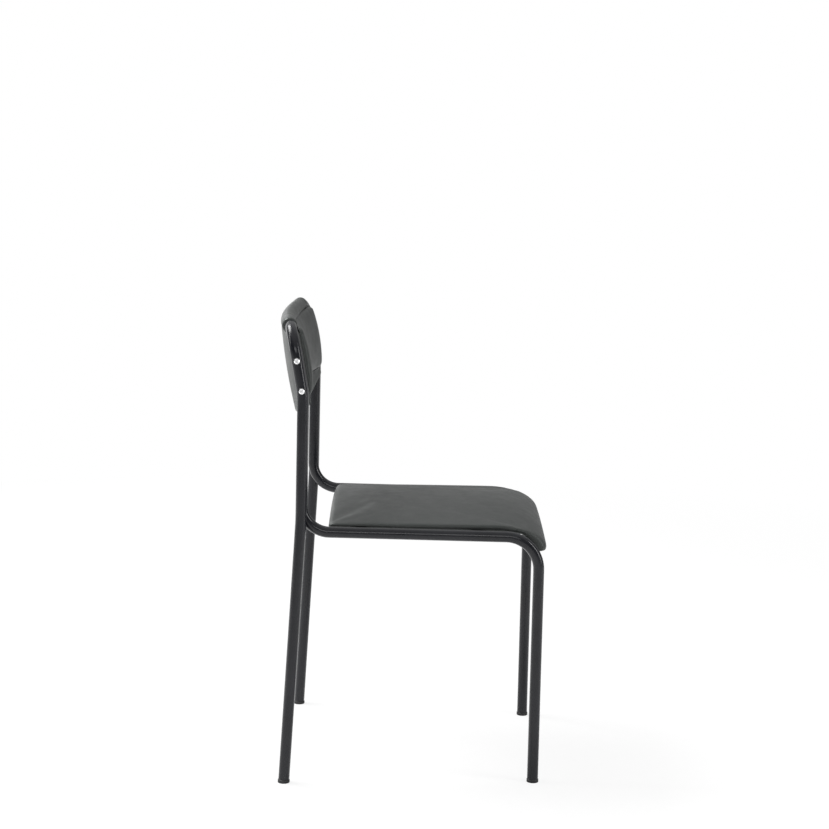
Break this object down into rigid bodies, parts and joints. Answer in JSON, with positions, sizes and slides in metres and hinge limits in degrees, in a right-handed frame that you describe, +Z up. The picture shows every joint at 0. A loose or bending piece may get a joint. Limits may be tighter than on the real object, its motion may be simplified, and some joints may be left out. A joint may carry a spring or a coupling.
{
  "type": "choir chair",
  "caption": "Stackable armless choir chair: black bent-tube frame, padded vinyl seat set between the rails and a curved padded back with a rolled top edge.",
  "frame": {"origin": "on the floor under the middle of the chair's overall width and depth", "axes": "+Z up, the chair faces -Y, +X to the right when looking along +Y from the front"},
  "size_m": [0.4832, 0.4944, 0.838],
  "materials": {
    "powder_coat": "semi-gloss black powder coat",
    "vinyl": "black vinyl with a fine grain",
    "glide_plastic": "moulded black plastic",
    "zinc_steel": "bright zinc plate",
    "plywood": "raw beech plywood",
    "foam": "upholstery foam",
    "under_cloth": "black spunbond cloth"
  },
  "bodies": {
    "root": {"back_hoop": "powder_coat", "front_frame_left": "powder_coat", "front_frame_right": "powder_coat", "seat_cross_bar_front": "powder_coat", "seat_cross_bar_rear": "powder_coat", "foot_glide_front_left": "glide_plastic", "foot_glide_front_right": "glide_plastic", "foot_glide_rear_left": "glide_plastic", "foot_glide_rear_right": "glide_plastic", "upright_cap_left": "glide_plastic", "upright_cap_right": "glide_plastic", "seat_board": "plywood", "seat_foam": "foam", "seat_cover": "vinyl", "seat_under_cloth": "under_cloth", "seat_screws": "zinc_steel", "seat_nuts": "zinc_steel", "back_board": "plywood", "back_cleat_left": "plywood", "back_cleat_right": "plywood", "back_foam": "foam", "back_front_cover": "vinyl", "back_rear_cover": "vinyl", "back_roll_foam": "foam", "back_roll_cover": "vinyl", "back_screws": "zinc_steel", "back_screw_saddles": "glide_plastic", "back_inserts": "zinc_steel"}
  },
  "joints": []
}
